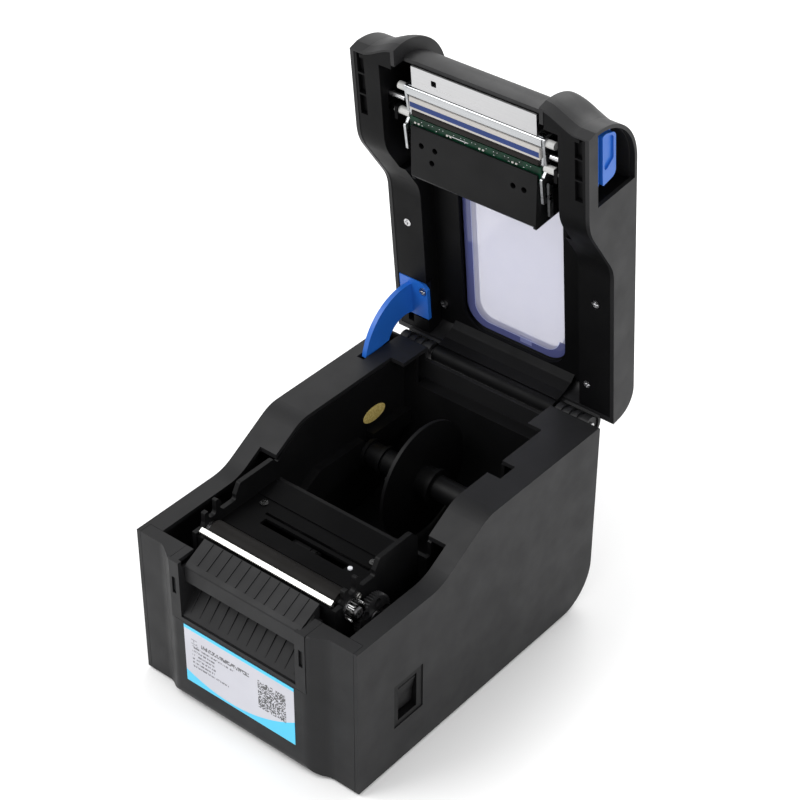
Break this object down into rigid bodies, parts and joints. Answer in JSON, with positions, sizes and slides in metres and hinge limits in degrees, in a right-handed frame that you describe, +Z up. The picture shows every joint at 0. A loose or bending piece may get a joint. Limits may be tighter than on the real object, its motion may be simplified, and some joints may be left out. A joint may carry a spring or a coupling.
{
  "type": "thermal label printer",
  "caption": "Desktop direct thermal label printer with its lid raised: roll compartment and spindle, rubber platen, tear bar, print head in the lid, latches and window",
  "frame": {"origin": "on the standing surface, centred under the whole object with its lid open", "axes": "+X to the object's right as seen from its front, +Y to the back where the lid is hinged, +Z up"},
  "size_m": [0.152, 0.2402, 0.32],
  "materials": {
    "black_abs": "fine spark-eroded texture",
    "black_inner": "fine texture, a little duller",
    "blue_plastic": "satin",
    "clear_window": "clear, faint violet at the edges",
    "paper_label": "satin printed film",
    "gold_foil": "bright foil",
    "platen_rubber": "satin ground",
    "steel": "ground",
    "zinc_steel": "galvanised sheet",
    "bright_steel": "polished",
    "aluminium": "extruded, natural",
    "ceramic": "glazed ceramic",
    "blue_glaze": "smooth glaze",
    "resin": "cast epoxy",
    "green_board": "solder mask",
    "white_nylon": "moulded",
    "grey_nylon": "moulded",
    "brass": "machined",
    "motor_steel": "zinc plated",
    "rubber_foot": "matt",
    "led_white": "diffuse lens"
  },
  "bodies": {
    "base": {"base_shell": "black_abs", "bottom_plate": "black_inner", "rubber_feet": "rubber_foot", "casing_screws": "steel", "front_cover": "black_abs", "front_bezel": "black_abs", "bezel_clips": "black_inner", "paper_tray": "black_abs", "front_label": "paper_label", "roll_tub": "black_inner", "seal_sticker": "gold_foil", "mech_frame": "black_inner", "platen_bushes": "steel", "idler_axle": "steel", "stepper_motor": "motor_steel", "guide_plate": "black_inner", "guide_screws": "steel", "tear_bar": "bright_steel", "sensor_rail": "steel", "sensor_lamp": "led_white", "main_board": "green_board", "port_board": "green_board", "power_jack": "black_inner", "usb_port": "zinc_steel", "drawer_port": "black_inner", "switch_housing": "black_inner", "hinge_brackets": "black_abs", "hinge_rod": "steel"},
    "platen": {"platen_roller": "platen_rubber", "platen_shaft": "steel", "platen_gear": "grey_nylon"},
    "idler": {"idler_gear": "grey_nylon"},
    "rotor": {"motor_shaft": "steel", "motor_pinion": "brass"},
    "spindle": {"roll_spindle": "black_inner"},
    "divider": {"guide_disc": "black_inner"},
    "sensor": {"gap_sensor": "black_inner"},
    "rocker": {"power_rocker": "black_inner"},
    "lid": {"lid_cover": "black_abs", "lid_inner_frame": "black_inner", "lid_window": "clear_window", "head_cover": "black_inner", "strut_arm": "blue_plastic", "lid_screws": "steel", "status_lenses": "led_white", "panel_board": "green_board", "head_springs": "steel"},
    "feed_key": {"feed_button": "blue_plastic"},
    "latch_right": {"latch_lever_right": "blue_plastic", "latch_pin_right": "steel"},
    "latch_left": {"latch_lever_left": "blue_plastic", "latch_pin_left": "steel"},
    "print_head": {"head_front_plate": "bright_steel", "heat_sink": "aluminium", "thermal_head": "ceramic", "heater_strip": "blue_glaze", "driver_resin": "resin", "head_board": "green_board", "head_brackets": "zinc_steel", "head_pins": "white_nylon"}
  },
  "joints": [
    {"name": "lid_hinge", "type": "hinge", "parent": "base", "child": "lid", "pos_m": [0, 0.0948, 0.1138], "axis": [1, 0, 0], "range_deg": [0, 84.3]},
    {"name": "platen_spin", "type": "hinge", "parent": "base", "child": "platen", "pos_m": [0, -0.0882, 0.0975], "axis": [1, 0, 0], "continuous": true},
    {"name": "idler_spin", "type": "hinge", "parent": "base", "child": "idler", "pos_m": [0.0528, -0.0752, 0.08593], "axis": [1, 0, 0], "continuous": true},
    {"name": "rotor_spin", "type": "hinge", "parent": "base", "child": "rotor", "pos_m": [0.0528, -0.0617, 0.07698], "axis": [1, 0, 0], "continuous": true},
    {"name": "spindle_spin", "type": "hinge", "parent": "base", "child": "spindle", "pos_m": [0, 0.0408, 0.0721], "axis": [1, 0, 0], "continuous": true},
    {"name": "divider_slide", "type": "slide", "parent": "spindle", "child": "divider", "axis": [1, 0, 0], "range_m": [-0.018, 0.028]},
    {"name": "sensor_slide", "type": "slide", "parent": "base", "child": "sensor", "axis": [1, 0, 0], "range_m": [-0.022, 0.02]},
    {"name": "rocker_tilt", "type": "hinge", "parent": "base", "child": "rocker", "pos_m": [0.07, -0.074, 0.0415], "axis": [0, 1, 0], "range_deg": [-16, 0]},
    {"name": "feed_press", "type": "slide", "parent": "lid", "child": "feed_key", "axis": [0, -0.9951, -0.0993], "range_m": [0, 0.0012], "stiffness_N_per_m": 300, "springref_m": -0.0005},
    {"name": "latch_right_slide", "type": "slide", "parent": "lid", "child": "latch_right", "axis": [0, 0.0993, -0.9951], "range_m": [0, 0.003], "stiffness_N_per_m": 400, "springref_m": -0.003},
    {"name": "latch_left_slide", "type": "slide", "parent": "lid", "child": "latch_left", "axis": [0, 0.0993, -0.9951], "range_m": [0, 0.003], "stiffness_N_per_m": 400, "springref_m": -0.003},
    {"name": "head_pivot", "type": "hinge", "parent": "lid", "child": "print_head", "pos_m": [0, 0.07257, 0.2781], "axis": [1, 0, 0], "range_deg": [-1.2, 0], "stiffness_Nm_per_rad": 8, "springref_deg": 5.73}
  ],
  "couplings": [
    {"joint": "idler_spin", "follows": "platen_spin", "ratio": -0.45},
    {"joint": "rotor_spin", "follows": "platen_spin", "ratio": 1.2857},
    {"joint": "latch_left_slide", "follows": "latch_right_slide", "ratio": 1}
  ]
}
